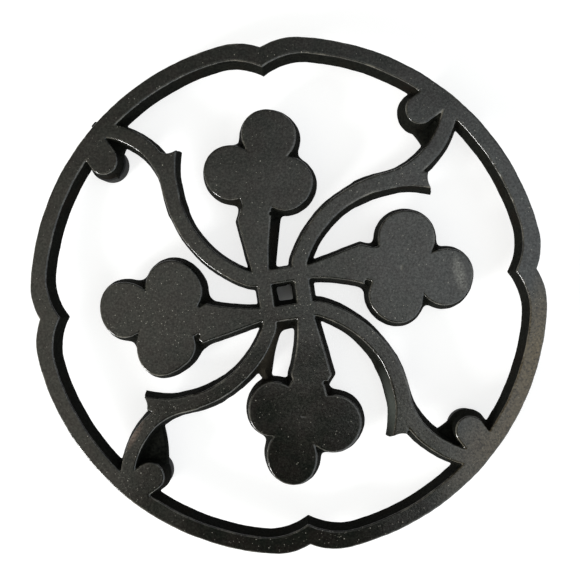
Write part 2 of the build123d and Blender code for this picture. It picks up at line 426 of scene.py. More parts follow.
# %% Scroll and thorn
THORN_HOLLOW = 0.7
THORN_END_STEEPNESS = 3.0
THORN_LEAN = 0.38
THORN_START_STEEPNESS = 0.2
THORN_FILLET = 1.4
DRIFT_REACH = [15, 45, 58, 72]
DRIFT_SHARE = [0, 1, 1, 0]
HUB_BAR_START = np.array([BAR_OFFSET, -BAR_OFFSET])


def to_scroll(points, arm, low):
    """Half a bar's width from the middle line; the thorn is a ring piece cut off at its hollow end."""
    line, half = arm["line"], arm["half_width"]
    reach = np.linalg.norm(points, axis=1)
    outward = points - line["sweep_centre"]
    outward = outward / np.linalg.norm(outward, axis=1, keepdims=True)
    share = np.interp(reach, DRIFT_REACH, DRIFT_SHARE)
    points = points - outward * share[:, None] * arm["drift"][int(low)]
    bar = to_stretch(points, HUB_BAR_START, line["bend_start"])
    bend = to_arc(points, line["bend_centre"], line["bend_start"], line["sweep_start"])
    sweep = to_arc(points, line["sweep_centre"], line["sweep_start"], line["joint"])
    tip = to_arc(points, line["tip_centre"], line["joint"], line["rim_point"])
    middle = np.minimum.reduce([bar, bend, sweep, tip])
    across = np.linalg.norm(points - line["sweep_centre"], axis=1) - line["sweep_radius"]
    past_end = (points - line["thorn_end"]) @ line["thorn_heading"]
    past_end = past_end + THORN_HOLLOW * np.clip(1 - (across / half) ** 2, 0, 1)
    past_end = past_end + THORN_LEAN * (across + half)
    before_start = (line["joint"] - points) @ line["joint_heading"] * THORN_START_STEEPNESS
    thorn = np.maximum.reduce([np.abs(across) - half, past_end * THORN_END_STEEPNESS, before_start])
    grown = np.where(across > 0, *arm["low_scroll"]) * low
    return np.maximum(soft_union(middle - half, thorn, THORN_FILLET) - grown, reach - RIM_MIDDLE)


thorn_ends = [np.linalg.norm(arm["line"]["thorn_end"]) for arm in ARMS]
print("thorns end", np.round(thorn_ends, 1), "mm from the centre")

# %% [markdown]
# ## Curl and web
#
# Beside the scroll's end a round curl stands off the rim on a short neck. That is a stretch from the
# curl's middle to the rim's middle, widened to the curl's radius and cut off inside the rim. Low down
# a thin web of iron fills the notch between curl and scroll, with a hollow free edge.

# %% Curl and web
CURL_RADIUS = 5.6
CURL_CENTRE = polar(88.2, 45.1)
CURL_WAY = polar(1, 28.0)
CURL_ALONG = CURL_CENTRE @ CURL_WAY
CURL_REACH = np.sqrt(CURL_ALONG**2 + RIM_MIDDLE**2 - CURL_CENTRE @ CURL_CENTRE) - CURL_ALONG
CURL_END = CURL_CENTRE + CURL_WAY * CURL_REACH
CURL_BACK = CURL_CENTRE - CURL_WAY * (CURL_RADIUS + WALL_SPREAD)


def to_curl(points, arm, low):
    """A round end on a neck: the stretch between curl and rim, widened, and cut off inside the rim."""
    neck = to_stretch(points, CURL_CENTRE, CURL_END) - CURL_RADIUS - arm["low_curl"] * low
    return np.maximum(neck, np.linalg.norm(points, axis=1) - RIM_MIDDLE)


def to_web(points, arm):
    """The notch between the scroll's end and the curl, with a hollow free edge."""
    line = arm["line"]
    corner_angle = arm["scroll"]["rim_heading"] - 90 - arm["web"]
    corner = line["tip_centre"] + polar(arm["radii"]["tip"], corner_angle)
    edge = bowed_side(corner, CURL_BACK, arm["web_hollow"])
    return to_polygon(points, np.vstack([[line["rim_point"]], edge, [CURL_END]]))


print(f"curls stand {CURL_REACH:.1f} mm off the rim's middle")

# %% [markdown]
# ## The whole pattern, with a hand-made waver
#
# A wooden pattern and damp sand never give a perfect line. Slow waves and a finer ripple, a tenth of
# a millimetre high, are added to the distance, so every edge wanders a little, the same way on each
# run. The underside has an outline of its own: the same pattern with the wide fillets, which the
# draft spreads later. Here and there the mould gave way and left a flare, where the metal spreads
# further low down. The gate is the short stub on the rim where the iron was poured in.

# %% Joined pattern
WAVER, WAVER_LENGTH, WAVER_PHASE = 0.10, 13.0, 1.0
RIPPLE, RIPPLE_LENGTH, RIPPLE_PHASE = 0.05, 3.3, 2.0
WAVES = [(1.0, 20, 1.0), (1.37, 95, 2.1), (0.71, 150, 3.3)]
GATE_ANGLE = 129.9
GATE_HALF_WIDTH = 1.2
GATE_END = 101.4
FLARES = [
    [(-6.0, -17.5), (-9.9, -30.5), (-14.5, -31.0), (-15.0, -27.0), (-10.5, -18.0)],
    [(-5.0, -10.0), (2.2, -10.0), (2.0, -13.6), (-4.5, -14.2)],
    [(2.85, 30.7), (-3.5, 5.6), (-6.0, 6.0), (-6.0, 31.0)],
]


def waver(points, length, phase):
    """Mean of three sine waves, each with its rate, its direction in degrees and its share of the phase."""
    k = 2 * np.pi / length
    total = 0
    for rate, angle, shift in WAVES:
        total = total + np.sin(rate * k * turned(points, angle)[:, 0] + shift * phase)
    return total / len(WAVES)


def to_pattern(points, low=False):
    """Distance from the show face's edge: rim, trefoils, scrolls and curls, joined with fillets."""
    joined = to_rim(points)
    for arm in ARMS:
        own = turned(points, -arm["turn"])
        joined = soft_union(joined, to_scroll(own, arm, low), FILLET)
        joined = soft_union(joined, to_curl(own, arm, low), FILLET)
        joined = soft_union(joined, to_trefoil(turned(own, -arm["stray"]), arm, low), FILLET)
    slow = WAVER * waver(points, WAVER_LENGTH, WAVER_PHASE)
    return joined + slow + RIPPLE * waver(points, RIPPLE_LENGTH, RIPPLE_PHASE)


def to_webs(points):
    """The nearest of the four webs."""
    return np.minimum.reduce([to_web(turned(points, -arm["turn"]), arm) for arm in ARMS])


def to_flares(points):
    """The nearest flare, each given by its corners at the underside."""
    return np.minimum.reduce([to_polygon(points, np.array(corners)) for corners in FLARES])


def to_gate(points):
    """A short block from the rim's middle out past its outer wall."""
    along, across = turned(points, -GATE_ANGLE).T
    inner_end = np.maximum(RIM_MIDDLE - along, along - GATE_END)
    return np.maximum(inner_end, np.abs(across) - GATE_HALF_WIDTH)


print("pattern at the hub's centre:", to_pattern(np.zeros((1, 2))).round(2), "mm outside the metal")

# %% [markdown]
# ## From distance to height
#
# The skin of the casting is a height over the plane: flat on the show face, round over the edge,
# then down a wall that leans out to the underside's outline. How far down the wall a point lies is
# its way from the face's edge as a share of the way between the two outlines. The radius at the edge
# is what the paint and the sand leave of a sharp corner. The webs and the stub left where the iron
# was poured are lower steps with steep sides, and the skin is whichever stands higher.

# %% Height of the skin
EDGE_RADIUS = 0.55
EDGE_TURN = np.arctan(1 / WALL_LEAN)
FLAT_END = -EDGE_RADIUS * np.tan(EDGE_TURN / 2)
WALL_START = FLAT_END + EDGE_RADIUS * np.sin(EDGE_TURN)
WALL_TOP = PLATE_TOP - EDGE_RADIUS * (1 - np.cos(EDGE_TURN))
WEB_THICKNESS = 3.0
GATE_HEIGHT = 4.5
WEB_TOP = PLATE_BOTTOM + WEB_THICKNESS
GATE_TOP = PLATE_BOTTOM + GATE_HEIGHT
FLARE_FILLET = 1.5
LEAST_SPREAD = 0.2
STEP_SPREAD = 0.45
STEP_PROFILE = ([-0.4, -0.1, 0.15, STEP_SPREAD], [1.0, 0.93, 0.7, 0.0])
FACE_WAVE, FACE_WAVE_LENGTH, FACE_WAVE_PHASE = 0.07, 24.0, 0.4


def to_low_outline(points):
    """Distance outside the walls' foot: the low pattern, spread by the draft, and the flares."""
    return soft_union(to_pattern(points, low=True) - WALL_SPREAD, to_flares(points), FLARE_FILLET)


def to_base(points):
    """Distance outside the whole underside: the walls' foot and the steps."""
    steps = np.minimum(to_webs(points), to_gate(points)) - STEP_SPREAD
    return np.minimum(to_low_outline(points), steps)


def wall_share(points):
    """Nought where the wall starts below the round, one at the underside."""
    outside = to_pattern(points)
    low = to_low_outline(points)
    return (outside - WALL_START) / np.maximum(outside - low - WALL_START, LEAST_SPREAD)


def plate_height(points):
    """Flat, then a quarter round of the edge radius, then the wall down to the underside."""
    run = np.clip(to_pattern(points) - FLAT_END, 0, EDGE_RADIUS)
    rounded = PLATE_TOP - EDGE_RADIUS + np.sqrt(EDGE_RADIUS**2 - run**2)
    share = wall_share(points)
    wall = WALL_TOP - (WALL_TOP - PLATE_BOTTOM) * np.clip(share, 0, 1)
    return np.where(share < 0, rounded, wall)


def step_height(distance, top):
    """A low step: flat, then a small round and a steep side."""
    return PLATE_BOTTOM + (top - PLATE_BOTTOM) * np.interp(distance, *STEP_PROFILE)


def skin_height(points):
    """The highest of plate, web and gate stub, with a slow unevenness that fades out down the wall."""
    height = np.maximum(plate_height(points), step_height(to_webs(points), WEB_TOP))
    height = np.maximum(height, step_height(to_gate(points), GATE_TOP))
    share = (height - PLATE_BOTTOM) / (PLATE_TOP - PLATE_BOTTOM)
    return height + FACE_WAVE * share * waver(points, FACE_WAVE_LENGTH, FACE_WAVE_PHASE)


print(f"edge radius {EDGE_RADIUS} mm, from {FLAT_END:.2f} to {WALL_START:.2f} mm")

# %% [markdown]
# ## Contour lines for clean edges
#
# A plain grid would leave stairs along every edge. Instead the mesh follows contour lines of the
# distance: on the flat, over the round and down the wall. Each grid cell that a contour crosses
# gives one point, the mean of its crossings, which is then slid along the slope on to the contour.
# Two cells that share a crossed side are joined by an edge.

# %% Contour lines
CELL = 0.5
HALF_SIZE = 104.0
NUDGE = 0.03
LEAST_SLOPE = 0.05
AXIS = np.arange(-HALF_SIZE, HALF_SIZE + CELL / 2, CELL)
GRID = np.stack(np.meshgrid(AXIS, AXIS, indexing="ij"), axis=-1)


def slid_to_level(points, field, level):
    """Two Newton steps: move along the slope by the miss divided by the slope, at most half a cell."""
    value = field(points)
    slope_x = (field(points + [NUDGE, 0]) - value) / NUDGE
    slope_y = (field(points + [0, NUDGE]) - value) / NUDGE
    slope = np.stack([slope_x, slope_y], axis=1)
    slope = slope / np.maximum((slope**2).sum(axis=1), LEAST_SLOPE)[:, None]
    for _ in range(2):
        step = (level - field(points))[:, None] * slope
        reach = np.linalg.norm(step, axis=1, keepdims=True)
        points = points + step * np.minimum(1, CELL / 2 / np.maximum(reach, 1e-9))
    return points


def contour(values, field, level):
    """Points and edges of the line where the field has this level, one point per crossed cell."""
    above = values > level
    cross_x = above[:-1] != above[1:]
    cross_y = above[:, :-1] != above[:, 1:]
    share_x = (level - values[:-1]) / np.where(cross_x, values[1:] - values[:-1], np.inf)
    share_y = (level - values[:, :-1]) / np.where(cross_y, values[:, 1:] - values[:, :-1], np.inf)
    point_x = np.where(cross_x[..., None], GRID[:-1] + share_x[..., None] * [CELL, 0], 0)
    point_y = np.where(cross_y[..., None], GRID[:, :-1] + share_y[..., None] * [0, CELL], 0)
    count = cross_x[:, :-1] * 1 + cross_x[:, 1:] + cross_y[:-1] + cross_y[1:]
    total = point_x[:, :-1] + point_x[:, 1:] + point_y[:-1] + point_y[1:]
    cells = count > 0
    points = total[cells] / count[cells][:, None]
    number = np.full(count.shape, -1)
    number[cells] = np.arange(len(points))
    beside_x = np.stack([number[:, :-1], number[:, 1:]], axis=-1)[cross_x[:, 1:-1]]
    beside_y = np.stack([number[:-1], number[1:]], axis=-1)[cross_y[1:-1]]
    return slid_to_level(points, field, level), np.vstack([beside_x, beside_y])


def on_grid(field):
    """A field's values at the grid's corners."""
    return field(GRID.reshape(-1, 2)).reshape(GRID.shape[:2])


PATTERN_VALUES = on_grid(to_pattern)
EDGE_STEPS = np.linspace(0, 1, 5)
FACE_MARGIN = 0.4
PATTERN_LEVELS = [FLAT_END - FACE_MARGIN, *(FLAT_END + EDGE_RADIUS * np.sin(EDGE_STEPS * EDGE_TURN))]
WALL_LEVELS = [(WALL_TOP - height) / (WALL_TOP - PLATE_BOTTOM) for height in (GATE_TOP, WEB_TOP)]
lines = [contour(PATTERN_VALUES, to_pattern, level) for level in PATTERN_LEVELS]
lines += [contour(on_grid(wall_share), wall_share, level) for level in WALL_LEVELS]
lines += [contour(on_grid(to_webs), to_webs, level) for level in STEP_PROFILE[0][:3]]
lines += [contour(on_grid(to_gate), to_gate, level) for level in STEP_PROFILE[0][:3]]
lines += [contour(on_grid(to_base), to_base, 0.0)]
print("points on contours:", [len(points) for points, _ in lines])

# %% [markdown]
# ## Skin
#
# A constrained Delaunay triangulation fills in between the contours, and the triangles whose middle
# lies off the metal are dropped. A loose raster of extra points, shaken so that no row lines up, lets
# the flat face carry its slow unevenness. A side that only one triangle has lies on the skin's rim.
# A triangle with all three corners on that rim would lie flat on the underside, so it goes too, in
# a few rounds, because each one that goes lays new rim bare.

# %% Triangulate the skin
FACE_POINT_SPACING = 2.4
FACE_POINT_MARGIN = 1.2
RASTER_HALF = 100
SHAKE_RATE = 7.0
RIM_ROUNDS = 4


def triangles(points, edges):
    """Delaunay triangles that respect the edges, and the middle of each."""
    found = delaunay_2d_cdt(points.tolist(), edges.tolist(), [], 0, 1e-5)
    corners = np.array(found[0])
    faces = np.array(found[2])
    return corners, faces, corners[faces].mean(axis=1)


def directed_sides(faces):
    """The three sides of each triangle, each in the direction that the triangle runs round."""
    return faces[:, [0, 1, 1, 2, 2, 0]].reshape(-1, 3, 2)


def is_among(sides, others):
    """Which sides are also in another list, with the same direction."""
    return np.isin(sides @ [1, 10**7], others @ [1, 10**7])


def open_sides(faces):
    """The sides whose other direction no triangle has. The metal lies on their left."""
    sides = directed_sides(faces).reshape(-1, 2)
    return sides[~is_among(sides[:, ::-1], sides)]


raster_axis = np.arange(-RASTER_HALF, RASTER_HALF, FACE_POINT_SPACING)
raster = np.stack(np.meshgrid(raster_axis, raster_axis), axis=-1).reshape(-1, 2)
raster = raster + FACE_POINT_SPACING / 4 * np.sin(raster[:, ::-1] * SHAKE_RATE)
raster = raster[to_pattern(raster) < FLAT_END - FACE_POINT_MARGIN]
starts = np.cumsum([0] + [len(points) for points, _ in lines])
skin_points = np.vstack([points for points, _ in lines] + [raster])
skin_edges = np.vstack([edges + start for (_, edges), start in zip(lines, starts)])
skin_corners, skin_faces, middles = triangles(skin_points, skin_edges)
skin_faces = skin_faces[to_base(middles) < 0]
for _ in range(RIM_ROUNDS):
    flat_on_rim = np.isin(skin_faces, open_sides(skin_faces)).all(axis=1)
    skin_faces = skin_faces[~flat_on_rim]
rim_sides = open_sides(skin_faces)
skin_heights = skin_height(skin_corners)
skin_heights[np.unique(rim_sides)] = PLATE_BOTTOM
print(f"skin: {len(skin_faces)} triangles, rim of {len(rim_sides)} edges")

# %% [markdown]
# ## Underside and pegs
#
# The underside is flat, and triangulated between the skin's rim sides with a round place for each peg.
# A triangle is metal if it lies to the left of a rim side, or well inside the outline and not to
# the right of one. Thin slivers can miss both, so the metal then grows in a few rounds across every
# side that isn't on the rim. The pegs are turned shapes: one profile carried round a circle.

# %% Underside and pegs
PEG_RADIUS = 4.0
PEG_CHAMFER = 0.4
PEG_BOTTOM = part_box("cast_frame")[0].z / MM
PEG_SIDES = 64
WELL_INSIDE = -0.05
METAL_ROUNDS = 6
FEET = [f"rubber_foot_{number}" for number in range(1, 5)]


def foot_centre(node):
    """Middle of a foot's box, in millimetres."""
    low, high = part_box(node)
    return np.array([(low.x + high.x) / 2, (low.y + high.y) / 2]) / MM


around = np.linspace(0, 360, PEG_SIDES, endpoint=False)
ring = np.arange(PEG_SIDES)
ring_sides = np.stack([ring, np.roll(ring, -1)], axis=1)
peg_centres = np.array([foot_centre(node) for node in FEET])
peg_rings = [centre + polar(PEG_RADIUS, around).T for centre in peg_centres]
rim_numbers, rim_edges = np.unique(rim_sides, return_inverse=True)
rim_points = skin_corners[rim_numbers]
base_points = np.vstack([rim_points] + peg_rings)
base_edges = [rim_edges.reshape(-1, 2)]
base_edges += [ring_sides + len(rim_points) + k * PEG_SIDES for k in range(len(FEET))]
base_corners, base_faces, middles = triangles(base_points, np.vstack(base_edges))
base_sides = directed_sides(base_faces)
left_of_rim = is_among(base_sides, base_edges[0]).any(axis=1)
right_of_rim = is_among(base_sides[..., ::-1], base_edges[0]).any(axis=1)
on_metal = left_of_rim | ((to_base(middles) < WELL_INSIDE) & ~right_of_rim)
for _ in range(METAL_ROUNDS):
    metal_sides = base_sides[on_metal].reshape(-1, 2)
    inner_sides = metal_sides[~is_among(metal_sides, base_edges[0])]
    on_metal |= is_among(base_sides[..., ::-1], inner_sides).any(axis=1)
off_pegs = np.linalg.norm(middles[:, None] - peg_centres, axis=2).min(axis=1) > PEG_RADIUS
base_faces = base_faces[on_metal & off_pegs]


def peg(centre):
    """A profile carried round a circle: down the side, over a small chamfer, and in to the middle."""
    radii = np.array([PEG_RADIUS, PEG_RADIUS, PEG_RADIUS - PEG_CHAMFER, 0])
    levels = np.array([PLATE_BOTTOM, PEG_BOTTOM + PEG_CHAMFER, PEG_BOTTOM, PEG_BOTTOM])
    rows = [centre + polar(radius, around).T for radius in radii]
    corners = np.hstack([np.vstack(rows), np.repeat(levels, PEG_SIDES)[:, None]])
    a, b = ring_sides.T
    bands = [
        np.stack([a, b, b + PEG_SIDES, a + PEG_SIDES], axis=1)[:, ::-1] + row * PEG_SIDES
        for row in range(len(radii) - 1)
    ]
    return corners, np.vstack(bands)


pegs = [peg(centre) for centre in peg_centres]
print(f"underside: {len(base_faces)} triangles, {len(pegs)} pegs")

# %% [markdown]
# ## One closed mesh
#
# Skin, underside and pegs meet in the same points, so merging doubles closes the casting. Each
# corner keeps its distance from the edge as an attribute, which the paint reads for its wear. Faces
# beyond the round edge are walls, and get the second material.

# %% Build the casting
WELD = 2e-6
SLIVER = 1e-7
WALL_DROP = 0.5
CASTING_SHARP = 35


def mesh_object(name, corners, faces):
    """A mesh from arrays in millimetres, as an object at the origin, with doubles merged."""
    mesh = bpy.data.meshes.new(name)
    mesh.from_pydata((corners * MM).tolist(), [], faces)
    work = bmesh.new()
    work.from_mesh(mesh)
    bmesh.ops.remove_doubles(work, verts=work.verts, dist=WELD)
    bmesh.ops.dissolve_degenerate(work, edges=work.edges, dist=SLIVER)
    open_count = sum(not edge.is_manifold for edge in work.edges)
    work.to_mesh(mesh)
    work.free()
    made = bpy.data.objects.new(name, mesh)
    bpy.context.scene.collection.objects.link(made)
    print(f"{name}: {len(mesh.polygons)} faces, {open_count} open edges")
    return made


def corner_array(mesh):
    """Every vertex of a mesh, in millimetres."""
    flat = np.empty(len(mesh.vertices) * 3, np.float32)
    mesh.vertices.foreach_get("co", flat)
    return flat.reshape(-1, 3) / MM


blocks = [
    (np.column_stack([skin_corners, skin_heights]), skin_faces),
    (np.column_stack([base_corners, np.full(len(base_corners), PLATE_BOTTOM)]), base_faces[:, ::-1]),
    *pegs,
]
offsets = np.cumsum([0] + [len(corners) for corners, _ in blocks])
all_faces = [row for (_, faces), start in zip(blocks, offsets) for row in (faces + start).tolist()]
casting = mesh_object("casting", np.vstack([corners for corners, _ in blocks]), all_faces)

corners = corner_array(casting.data)
from_edge = to_pattern(corners[:, :2])
attribute = casting.data.attributes.new("from_edge", "FLOAT", "POINT")
attribute.data.foreach_set("value", from_edge.astype(np.float32))
centres = np.empty(len(casting.data.polygons) * 3, np.float32)
casting.data.polygons.foreach_get("center", centres)
centres = centres.reshape(-1, 3) / MM
is_wall = (to_pattern(centres[:, :2]) > WALL_START) | (centres[:, 2] < WALL_TOP - WALL_DROP)
casting.data.polygons.foreach_set("material_index", is_wall.astype(np.int32))
casting.data.shade_smooth()
casting.data.set_sharp_from_angle(angle=np.radians(CASTING_SHARP))
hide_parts("cast_frame")
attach(casting, "root")
print(f"{is_wall.sum()} faces on walls and underside")

# %% [markdown]
# ## Rubber feet
#
# Each foot is a moulded cap pushed over its peg. It is a turned shape, so a Screw modifier would do,
# but a profile carried round the foot's middle gives every corner its place at once. The profile runs
# from the middle of the sole out over a round edge, up the slightly tapered side, over the lip, and
# down inside the cup to its floor.

# %% Feet
FOOT_LIP = 7.15
FOOT_SOLE_RADIUS = 6.87
FOOT_EDGE = 1.0
CUP_RADIUS = 4.05
LIP_ROUND = 0.35
FOOT_SIDES = 96
FOOT_SHARP = 50


def foot_profile():
    """Radius and height along the cap's section, from the sole's middle to the cup floor's middle."""
    quarter = np.linspace(-np.pi / 2, 0, 7)
    edge = np.stack([np.cos(quarter), 1 + np.sin(quarter)], axis=1) * FOOT_EDGE
    edge = edge + [FOOT_SOLE_RADIUS - FOOT_EDGE, 0]
    half = np.linspace(0, np.pi, 9)
    lip_middle = (FOOT_LIP + CUP_RADIUS) / 2
    flat_half = (FOOT_LIP - CUP_RADIUS) / 2 - LIP_ROUND
    lip = np.stack([np.cos(half), np.sin(half)], axis=1) * LIP_ROUND
    lip = lip + np.stack([lip_middle + np.where(half < np.pi / 2, flat_half, -flat_half)], axis=1) * [1, 0]
    lip = lip + [0, PLATE_BOTTOM - LIP_ROUND]
    return np.vstack([[0, 0], edge, lip, [CUP_RADIUS, PEG_BOTTOM], [0, PEG_BOTTOM]])


def turned_cap(centre):
    """The profile carried round the foot's middle, one row of points per profile point."""
    profile = foot_profile()
    angles = np.linspace(0, 360, FOOT_SIDES, endpoint=False)
    circle = polar(1, angles).T
    places = profile[:, None, :1] * circle[None] + centre
    heights = np.broadcast_to(profile[:, None, 1:], places.shape[:2] + (1,))
    column = np.arange(FOOT_SIDES)
    beside = np.roll(column, -1)
    bands = [
        np.stack([column, beside, beside + FOOT_SIDES, column + FOOT_SIDES], axis=1) + row * FOOT_SIDES
        for row in range(len(profile) - 1)
    ]
    return np.concatenate([places, heights], axis=2).reshape(-1, 3), np.vstack(bands).tolist()


feet = []
for node in FEET:
    foot = mesh_object(f"cap_{node}", *turned_cap(foot_centre(node)))
    foot.data.shade_smooth()
    foot.data.set_sharp_from_angle(angle=np.radians(FOOT_SHARP))
    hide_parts(node)
    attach(foot, "root")
    feet.append(foot)

# %% [markdown]
# ## Nodes for the finishes
#
# Colours are written as sRGB hex, the way a paint card gives them, and turned to linear light here.
# Patterns read Object coordinates, which are metres on the piece, so a grain of so many
# millimetres gets the scale 1 / size.

# %% Material helpers


def linear(hex_colour, alpha=1.0):
    """An sRGB hex colour as linear red, green, blue and alpha."""
    srgb = np.array([int(hex_colour[i : i + 2], 16) for i in (1, 3, 5)]) / 255
    light = np.where(srgb <= 0.04045, srgb / 12.92, ((srgb + 0.055) / 1.055) ** 2.4)
    return (*light.tolist(), alpha)


def per_metre(size_mm):
    """The texture scale that gives features of about this size."""
    return 1 / (size_mm * MM)


def add_node(tree, kind, inputs=None, **settings):
    """Adds a node: settings are its properties, and inputs get values or other nodes' outputs."""
    made = tree.nodes.new(kind)
    for name, value in settings.items():
        setattr(made, name, value)
    for key, value in (inputs or {}).items():
        if isinstance(value, bpy.types.NodeSocket):
            tree.links.new(value, made.inputs[key])
        else:
            made.inputs[key].default_value = value
    return made


def new_material(name):
    """An empty node material with its tree, output and Object coordinates."""
    material = bpy.data.materials.new(name)
    material.use_nodes = True
    tree = material.node_tree
    tree.nodes.clear()
    output = add_node(tree, "ShaderNodeOutputMaterial")
    place = add_node(tree, "ShaderNodeTexCoord").outputs["Object"]
    return material, tree, output, place


print("satin black as linear light:", np.round(linear("#1e1f1c"), 4))

# %% [markdown]
# ## Satin black paint on sand-cast iron
#
# The show face was rubbed flat and painted thin, so the sand's grain still stands in the paint: a
# pebble of somewhat under a millimetre under a satin skin, a little coarser than the real sand so
# that it shows. The black is not even. It turns a little green or brown from place to place, and the
# tops of the pebble are painted paler, a painted sheen on the grain. A noise for each size of pattern
# is enough for all of this.

# %% Satin paint: grain and tint
paint, tree, output, place = new_material("satin_black_paint_on_cast_iron")
grain = add_node(
    tree, "ShaderNodeTexNoise", {"Vector": place, "Scale": per_metre(0.8), "Detail": 3.0, "Roughness": 0.75}
).outputs["Fac"]
cloud = add_node(
    tree, "ShaderNodeTexNoise", {"Vector": place, "Scale": per_metre(8.0), "Detail": 4.0, "Roughness": 0.65}
).outputs["Fac"]
tint = add_node(
    tree, "ShaderNodeMapRange", {"Value": cloud, "From Min": 0.4, "From Max": 0.6}
).outputs["Result"]
tinted = add_node(
    tree, "ShaderNodeMix", {0: tint, 6: linear("#0c0f0c"), 7: linear("#110e0c")}, data_type="RGBA"
).outputs[2]
# painted sheen: the pebble's tops are painted paler, as if they caught the light
painted_top_sheen = add_node(
    tree, "ShaderNodeMapRange", {"Value": grain, "From Min": 0.46, "From Max": 0.74, "To Max": 0.8}
).outputs["Result"]
coat_colour = add_node(
    tree, "ShaderNodeMix", {0: painted_top_sheen, 6: tinted, 7: linear("#24251f")}, data_type="RGBA"
).outputs[2]
print("grain 0.8 mm, tint 8 mm")

# %% [markdown]
# ## Specks and painted glints
#
# Bare grains show as specks, and their glint is painted into the colour: a pale speck is bare grain
# and painted glint at once. A Voronoi cell stands for a grain of half a millimetre, its random
# colour says how large the speck is, and only the cells with a high random value are left bare. Some
# places have far more of them, such as the scrolls and the hub, where hands and pots rub. A place is a
# soft ellipse: a Mapping node puts its middle at the origin and its half axes at one, and a spherical
# gradient fades it out.

# %% Specks and painted glints
PLACE_DEPTH = 20.0
cells = add_node(tree, "ShaderNodeTexVoronoi", {"Vector": place, "Scale": per_metre(0.55)})
chance, size_draw = add_node(tree, "ShaderNodeSeparateColor", {0: cells.outputs["Color"]}).outputs[:2]
dot_radius = add_node(
    tree, "ShaderNodeMapRange", {"Value": size_draw, "To Min": 0.2, "To Max": 0.55}
).outputs["Result"]
dots = add_node(
    tree,
    "ShaderNodeMapRange",
    {"Value": cells.outputs["Distance"], "From Min": dot_radius, "From Max": 0.08},
).outputs["Result"]


def soft_place(tree, place, x, y, half_length, half_width, turn):
    """Mask of a soft ellipse on the show face, in millimetres and degrees."""
    moved = add_node(
        tree,
        "ShaderNodeMapping",
        {
            "Vector": place,
            "Location": (x * MM, y * MM, PLATE_TOP * MM),
            "Rotation": (0, 0, np.radians(turn)),
            "Scale": (half_length * MM, half_width * MM, PLACE_DEPTH * MM),
        },
        vector_type="TEXTURE",
    ).outputs[0]
    return add_node(tree, "ShaderNodeTexGradient", {0: moved}, gradient_type="SPHERICAL").outputs["Fac"]


GRAIN_AND_GLINT_PLACES = [
    (51.5, 38.0, 20, 11, 22),
    (0.0, 0.0, 24, 24, 0),
    (-47.0, 1.0, 26, 20, 0),
    (36.0, -29.0, 16, 9, -45),
    (-44.0, -37.0, 30, 14, 20),
    (-66.0, -58.0, 24, 18, 45),
    (0.0, -96.0, 60, 14, 0),
]
grain_and_glint_share = 0.0
for middle_and_size in GRAIN_AND_GLINT_PLACES:
    mask = soft_place(tree, place, *middle_and_size)
    grain_and_glint_share = add_node(tree, "ShaderNodeMath", {0: grain_and_glint_share, 1: mask}, operation="MAXIMUM").outputs[0]
threshold = add_node(
    tree, "ShaderNodeMapRange", {"Value": grain_and_glint_share, "From Max": 0.6, "To Min": 0.965, "To Max": 0.865}
).outputs["Result"]
kept = add_node(
    tree, "ShaderNodeMapRange", {"Value": chance, "From Min": threshold, "From Max": 1.0}
).outputs["Result"]
bare_grains_and_painted_glints = add_node(tree, "ShaderNodeMath", {0: dots, 1: kept}, operation="MULTIPLY").outputs[0]
# painted glint: the pale speck colour stands for a grain's glint as well as bare iron
speckled = add_node(
    tree, "ShaderNodeMix", {0: bare_grains_and_painted_glints, 6: coat_colour, 7: linear("#9d9a90")}, data_type="RGBA"
).outputs[2]
print(len(GRAIN_AND_GLINT_PLACES), "glittering places")

# %% [markdown]
# ## Rubbed places and painted highlights
#
# Where the paint is rubbed, the iron and its rust show through as tan, and dust lies on the lowest
# trefoil. Two places are painted highlights: a pale grey glint on the right trefoil's outer lobe, and a
# pinkish streak at the tip of the lower left scroll, painted over a rust tint. Each is again a soft
# place, with a colour and a strength, broken up by a fine noise.

# %% Rubbed places and painted highlights
RUBBED_AND_HIGHLIGHT_PLACES = [
    ((91.5, -36.0, 40, 10, 69), "#5e4d26", 0.85),
    ((76.0, -63.0, 46, 16, 50), "#4f4126", 0.85),
    # painted highlight: a glint on the right trefoil's outer lobe
    ((67.5, -2.5, 9, 3, 96), "#8c8c85", 0.60),
    # painted highlight: a pinkish streak over a rust tint at the lower left scroll's tip
    ((-65.6, -45.3, 8, 2, 54), "#8d7468", 0.50),
    ((1.0, -42.0, 15, 26, 0), "#5b5953", 0.18),
    ((43.0, -62.0, 36, 15, -62), "#2a2614", 0.60),
]
patch_noise = add_node(
    tree, "ShaderNodeTexNoise", {"Vector": place, "Scale": per_metre(0.8), "Detail": 4.0, "Roughness": 0.7}
).outputs["Fac"]
patch_grain = add_node(
    tree, "ShaderNodeMapRange", {"Value": patch_noise, "From Min": 0.3, "From Max": 0.66}
).outputs["Result"]
rubbed_and_highlit = speckled
for middle_and_size, colour, strength in RUBBED_AND_HIGHLIGHT_PLACES:
    mask = soft_place(tree, place, *middle_and_size)
    mask = add_node(tree, "ShaderNodeMath", {0: mask, 1: patch_grain}, operation="MULTIPLY").outputs[0]
    mask = add_node(tree, "ShaderNodeMath", {0: mask, 1: strength}, operation="MULTIPLY").outputs[0]
    rubbed_and_highlit = add_node(
        tree, "ShaderNodeMix", {0: mask, 6: rubbed_and_highlit, 7: linear(colour)}, data_type="RGBA"
    ).outputs[2]
print(len(RUBBED_AND_HIGHLIGHT_PLACES), "rubbed places")

# %% [markdown]
# ## Worn edges and gloss
#
# Along the edges the paint is thin. The mesh carries each point's distance from the edge, so the wear
# follows every outline, broken up by a noise of about the width of a fingertip. The gloss is that of a
# satin paint, a little uneven. Two bumps stand for what is too small to model: a slow ripple of the
# brush and the sand's pebble.

